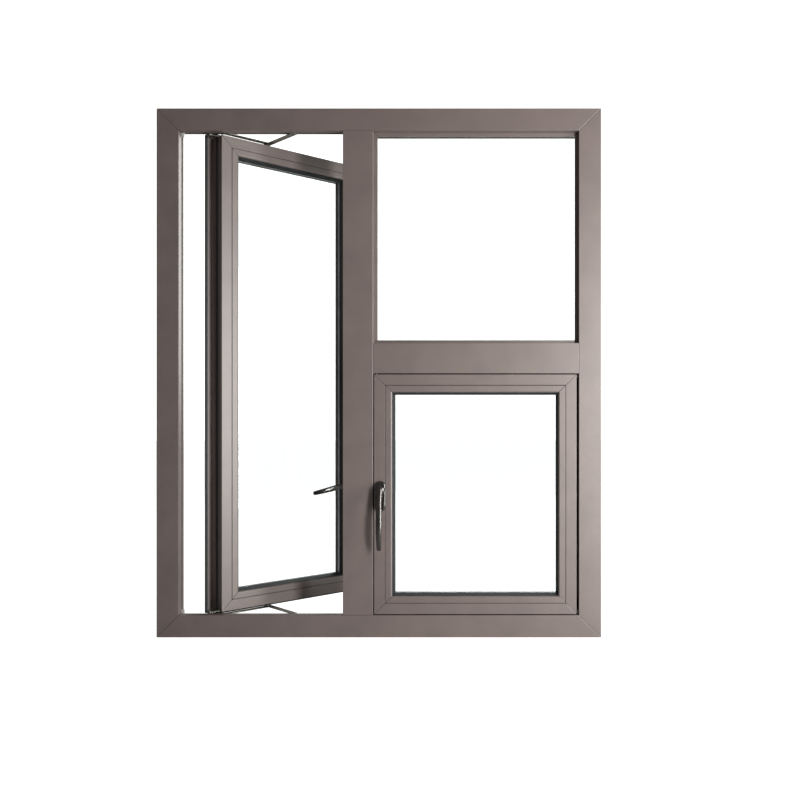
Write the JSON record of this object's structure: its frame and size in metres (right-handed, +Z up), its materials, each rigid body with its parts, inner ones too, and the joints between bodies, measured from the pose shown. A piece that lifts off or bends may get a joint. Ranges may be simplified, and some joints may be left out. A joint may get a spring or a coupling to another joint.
{
  "type": "casement window unit",
  "caption": "Aluminium window unit with a mullion, a transom, a fixed light, two outward casements on friction stays and lever handles.",
  "frame": {"origin": "middle of the frame's bottom face, half way through the frame's depth", "axes": "+Z up, +X to the right seen from the room, +Y towards the outside; the room is on the -Y side"},
  "size_m": [1, 0.3499, 1.19],
  "materials": {
    "bronze_paint": "fine satin powder coat, grey bronze",
    "glass": "clear float glass",
    "rubber_seal": "matt black EPDM",
    "polyamide": "matt black glass-filled polyamide",
    "stay_plastic": "dark acetal",
    "mill_aluminium": "mill finish",
    "cap_grey": "light grey moulding",
    "zinc_casting": "zinc die casting",
    "stay_steel": "stainless strip, slightly brushed",
    "handle_dark": "dark lacquered metal, glossy"
  },
  "bodies": {
    "frame": {"head": "bronze_paint", "sill": "bronze_paint", "left_jamb": "bronze_paint", "right_jamb": "bronze_paint", "mullion": "bronze_paint", "transom": "bronze_paint", "frame_thermal_breaks": "polyamide", "frame_corner_cleats": "mill_aluminium", "fixed_light_panes": "glass", "fixed_light_spacer": "mill_aluminium", "fixed_light_beads": "bronze_paint", "fixed_light_outer_stops": "bronze_paint", "fixed_light_gaskets": "rubber_seal", "stay_tracks": "stay_steel", "stay_end_caps": "cap_grey", "lock_keeps": "zinc_casting", "weep_covers": "polyamide"},
    "left_struts": {"left_stay_struts": "stay_steel"},
    "left_casement": {"left_top_rail": "bronze_paint", "left_bottom_rail": "bronze_paint", "left_hinge_stile": "bronze_paint", "left_lock_stile": "bronze_paint", "left_thermal_breaks": "polyamide", "left_panes": "glass", "left_spacer": "mill_aluminium", "left_beads": "bronze_paint", "left_gaskets": "rubber_seal", "left_corner_cleats": "mill_aluminium", "left_flange_seals": "rubber_seal", "left_stay_bars": "stay_steel", "left_lock_gearbox": "zinc_casting", "left_handle_base": "handle_dark"},
    "left_shoes": {"left_stay_shoes": "stay_plastic"},
    "left_braces": {"left_brace_arms": "stay_steel"},
    "left_sliders": {"left_friction_sliders": "stay_plastic"},
    "left_handle": {"left_handle_lever": "handle_dark", "left_handle_spindle": "stay_steel"},
    "left_rod": {"left_lock_rod": "stay_steel"},
    "right_struts": {"right_stay_struts": "stay_steel"},
    "right_casement": {"right_top_rail": "bronze_paint", "right_bottom_rail": "bronze_paint", "right_hinge_stile": "bronze_paint", "right_lock_stile": "bronze_paint", "right_thermal_breaks": "polyamide", "right_panes": "glass", "right_spacer": "mill_aluminium", "right_beads": "bronze_paint", "right_gaskets": "rubber_seal", "right_corner_cleats": "mill_aluminium", "right_flange_seals": "rubber_seal", "right_stay_bars": "stay_steel", "right_lock_gearbox": "zinc_casting", "right_handle_base": "handle_dark"},
    "right_shoes": {"right_stay_shoes": "stay_plastic"},
    "right_braces": {"right_brace_arms": "stay_steel"},
    "right_sliders": {"right_friction_sliders": "stay_plastic"},
    "right_handle": {"right_handle_lever": "handle_dark", "right_handle_spindle": "stay_steel"},
    "right_rod": {"right_lock_rod": "stay_steel"}
  },
  "joints": [
    {"name": "left_strut_swing", "type": "hinge", "parent": "frame", "child": "left_struts", "pos_m": [-0.199, 0.008, 0.595], "axis": [0, 0, -1], "range_deg": [-42, 18]},
    {"name": "left_casement_swing", "type": "hinge", "parent": "left_struts", "child": "left_casement", "pos_m": [-0.29561, 0.09499, 0.595], "axis": [0, 0, 1], "range_deg": [-84, 36]},
    {"name": "left_shoe_pivot", "type": "hinge", "parent": "left_casement", "child": "left_shoes", "pos_m": [-0.39222, 0.008, 0.595], "axis": [0, 0, -1], "range_deg": [-42, 18]},
    {"name": "left_brace_swing", "type": "hinge", "parent": "left_struts", "child": "left_braces", "pos_m": [-0.28075, 0.0816, 0.595], "axis": [0, 0, 1], "range_deg": [-84, 36]},
    {"name": "left_slider_pivot", "type": "hinge", "parent": "left_braces", "child": "left_sliders", "pos_m": [-0.36249, 0.008, 0.595], "axis": [0, 0, -1], "range_deg": [-42, 18]},
    {"name": "left_handle_turn", "type": "hinge", "parent": "left_casement", "child": "left_handle", "pos_m": [-0.09621, 0.21801, 0.332], "axis": [-0.6691, 0.7431, 0], "range_deg": [-80, 10]},
    {"name": "left_rod_slide", "type": "slide", "parent": "left_casement", "child": "left_rod", "axis": [0, 0, -1], "range_m": [-0.01571, 0.00196]},
    {"name": "right_strut_swing", "type": "hinge", "parent": "frame", "child": "right_struts", "pos_m": [0.139, 0.008, 0.322], "axis": [0, 0, 1], "range_deg": [0, 60]},
    {"name": "right_casement_swing", "type": "hinge", "parent": "right_struts", "child": "right_casement", "pos_m": [0.299, 0.008, 0.322], "axis": [0, 0, -1], "range_deg": [0, 120]},
    {"name": "right_shoe_pivot", "type": "hinge", "parent": "right_casement", "child": "right_shoes", "pos_m": [0.459, 0.008, 0.322], "axis": [0, 0, 1], "range_deg": [0, 60]},
    {"name": "right_brace_swing", "type": "hinge", "parent": "right_struts", "child": "right_braces", "pos_m": [0.279, 0.008, 0.322], "axis": [0, 0, -1], "range_deg": [0, 120]},
    {"name": "right_slider_pivot", "type": "hinge", "parent": "right_braces", "child": "right_sliders", "pos_m": [0.419, 0.008, 0.322], "axis": [0, 0, 1], "range_deg": [0, 60]},
    {"name": "right_handle_turn", "type": "hinge", "parent": "right_casement", "child": "right_handle", "pos_m": [0.0045, -0.034, 0.332], "axis": [0, -1, 0], "range_deg": [0, 90]},
    {"name": "right_rod_slide", "type": "slide", "parent": "right_casement", "child": "right_rod", "axis": [0, 0, -1], "range_m": [0, 0.01767]}
  ],
  "couplings": [
    {"joint": "left_strut_swing", "follows": "left_casement_swing", "ratio": 0.5},
    {"joint": "left_shoe_pivot", "follows": "left_casement_swing", "ratio": 0.5},
    {"joint": "left_brace_swing", "follows": "left_casement_swing", "ratio": 1},
    {"joint": "left_slider_pivot", "follows": "left_casement_swing", "ratio": 0.5},
    {"joint": "left_rod_slide", "follows": "left_handle_turn", "m_per_rad": 0.01125},
    {"joint": "right_strut_swing", "follows": "right_casement_swing", "ratio": 0.5},
    {"joint": "right_shoe_pivot", "follows": "right_casement_swing", "ratio": 0.5},
    {"joint": "right_brace_swing", "follows": "right_casement_swing", "ratio": 1},
    {"joint": "right_slider_pivot", "follows": "right_casement_swing", "ratio": 0.5},
    {"joint": "right_rod_slide", "follows": "right_handle_turn", "m_per_rad": 0.01125}
  ]
}
